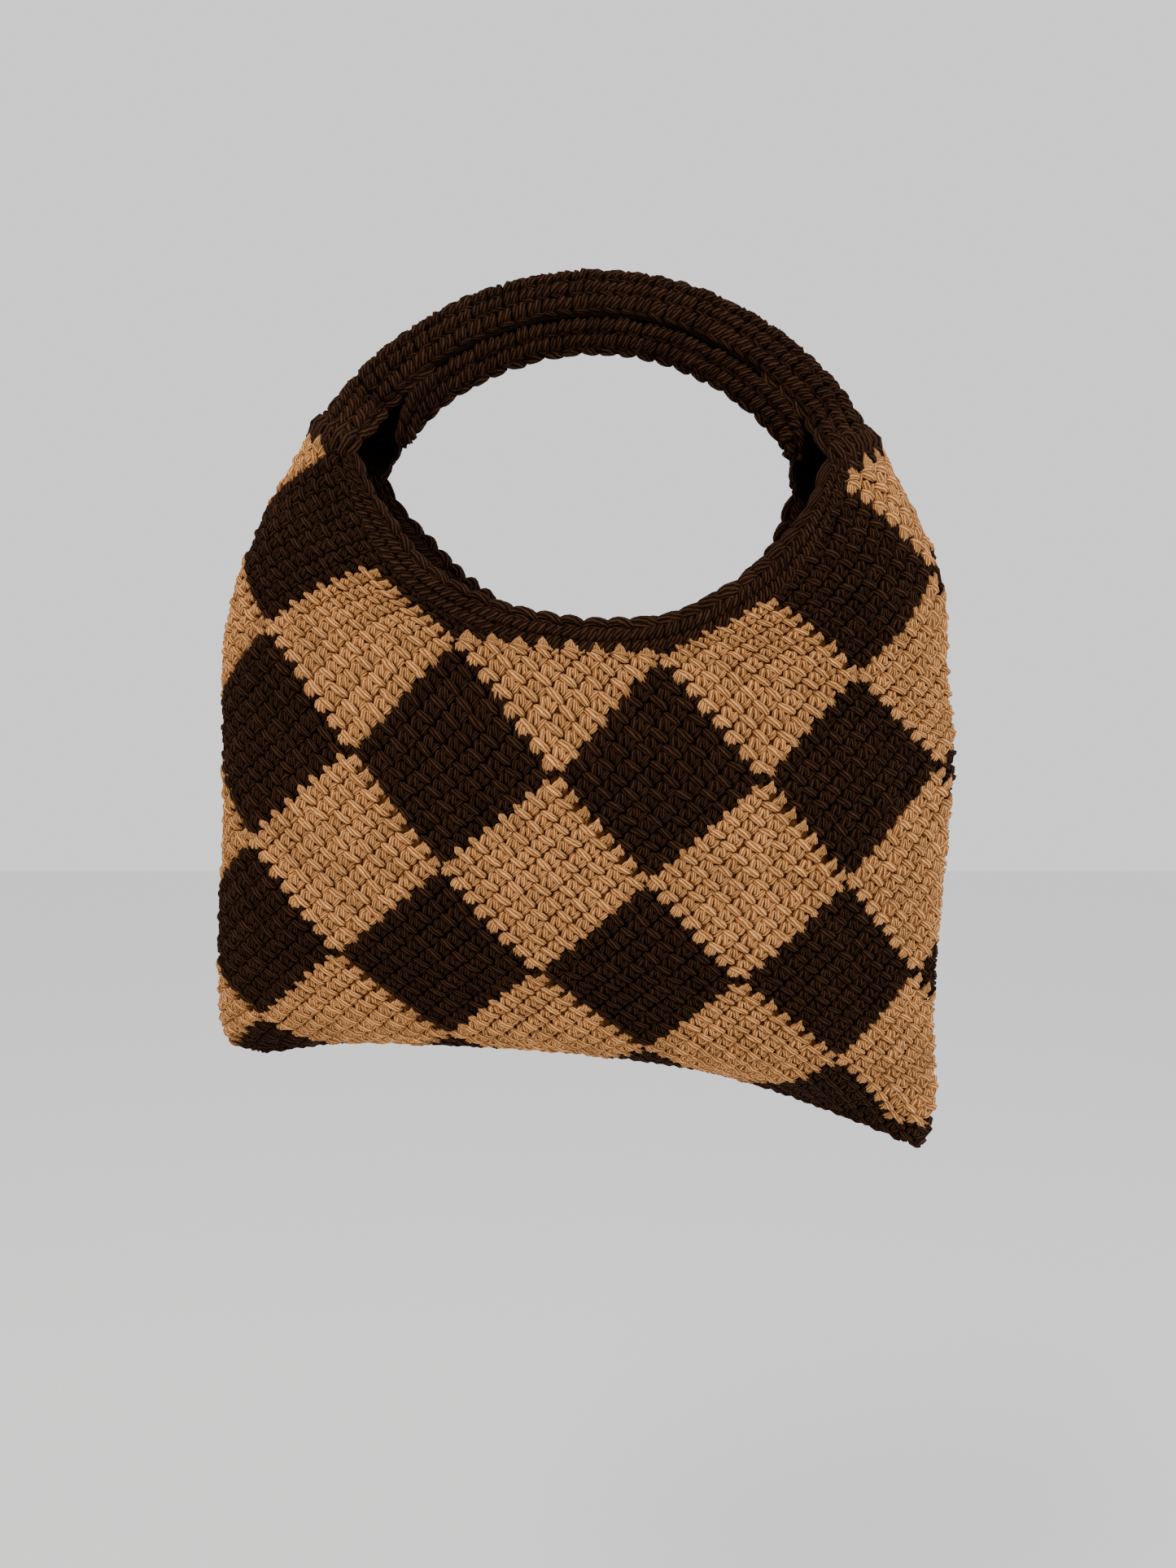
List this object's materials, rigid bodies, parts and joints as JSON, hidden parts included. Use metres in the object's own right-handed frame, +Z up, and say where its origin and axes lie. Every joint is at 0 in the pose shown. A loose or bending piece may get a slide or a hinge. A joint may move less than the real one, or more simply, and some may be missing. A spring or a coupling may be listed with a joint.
{
  "type": "crochet bag",
  "caption": "Small crocheted hand bag with a diamond pattern, a scooped open mouth and a folded handle, kept as it hangs.",
  "frame": {"origin": "underside of the handle's crown, where a hook or a hand carries the bag", "axes": "+Z up as it hangs, the front faces -Y, +X to the right seen from the front"},
  "size_m": [0.2791, 0.0824, 0.3333],
  "materials": {
    "tan_yarn": "matt spun yarn in close crochet stitches, warm tan, worked with the dark brown yarn in diamonds",
    "brown_yarn": "matt spun yarn in close crochet stitches, very dark brown"
  },
  "bodies": {
    "root": {"pouch": "tan_yarn", "mouth_rim_front": "brown_yarn", "mouth_rim_back": "brown_yarn", "handle": "brown_yarn"}
  },
  "joints": []
}
